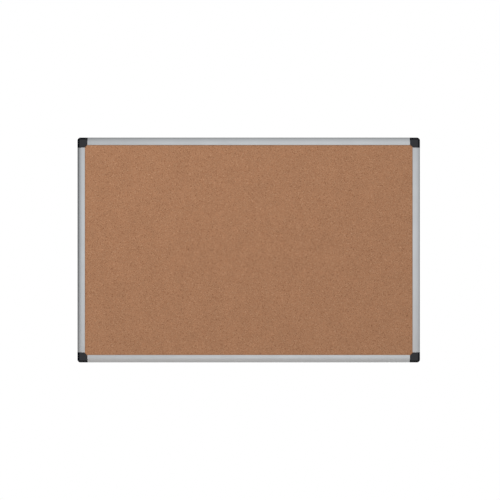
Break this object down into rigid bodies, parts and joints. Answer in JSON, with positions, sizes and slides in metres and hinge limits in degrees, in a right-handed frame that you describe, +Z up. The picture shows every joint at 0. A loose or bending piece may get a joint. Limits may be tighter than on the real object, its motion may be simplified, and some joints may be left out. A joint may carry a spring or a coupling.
{
  "type": "cork bulletin board",
  "caption": "Wall-hung cork bulletin board: cork panel in an extruded aluminium frame with pull-off black corner caps over the wall-screw holes.",
  "frame": {"origin": "centre of the wall-screw pattern, on the wall plane", "axes": "+X to the board's right, +Y into the wall, +Z up; the board faces -Y"},
  "size_m": [0.9, 0.0154, 0.591],
  "materials": {
    "cork": "matte",
    "core": "matte",
    "backing": "matte",
    "rail": "satin",
    "connector": "matte",
    "cap": "satin",
    "screw": "satin"
  },
  "bodies": {
    "board": {"cork_sheet": "cork", "core_board": "core", "backing_sheet": "backing", "frame_rail_top": "rail", "frame_rail_bottom": "rail", "frame_rail_left": "rail", "frame_rail_right": "rail", "corner_connector_top_left": "connector", "corner_connector_top_right": "connector", "corner_connector_bottom_left": "connector", "corner_connector_bottom_right": "connector", "connector_screws_top_left": "screw", "connector_screws_top_right": "screw", "connector_screws_bottom_left": "screw", "connector_screws_bottom_right": "screw"},
    "cap_top_left": {"corner_cap_top_left": "cap"},
    "cap_top_right": {"corner_cap_top_right": "cap"},
    "cap_bottom_left": {"corner_cap_bottom_left": "cap"},
    "cap_bottom_right": {"corner_cap_bottom_right": "cap"}
  },
  "joints": [
    {"name": "cap_pull_top_left", "type": "slide", "parent": "board", "child": "cap_top_left", "axis": [0, -1, 0], "range_m": [0, 0.02]},
    {"name": "cap_pull_top_right", "type": "slide", "parent": "board", "child": "cap_top_right", "axis": [0, -1, 0], "range_m": [0, 0.02]},
    {"name": "cap_pull_bottom_left", "type": "slide", "parent": "board", "child": "cap_bottom_left", "axis": [0, -1, 0], "range_m": [0, 0.02]},
    {"name": "cap_pull_bottom_right", "type": "slide", "parent": "board", "child": "cap_bottom_right", "axis": [0, -1, 0], "range_m": [0, 0.02]}
  ]
}
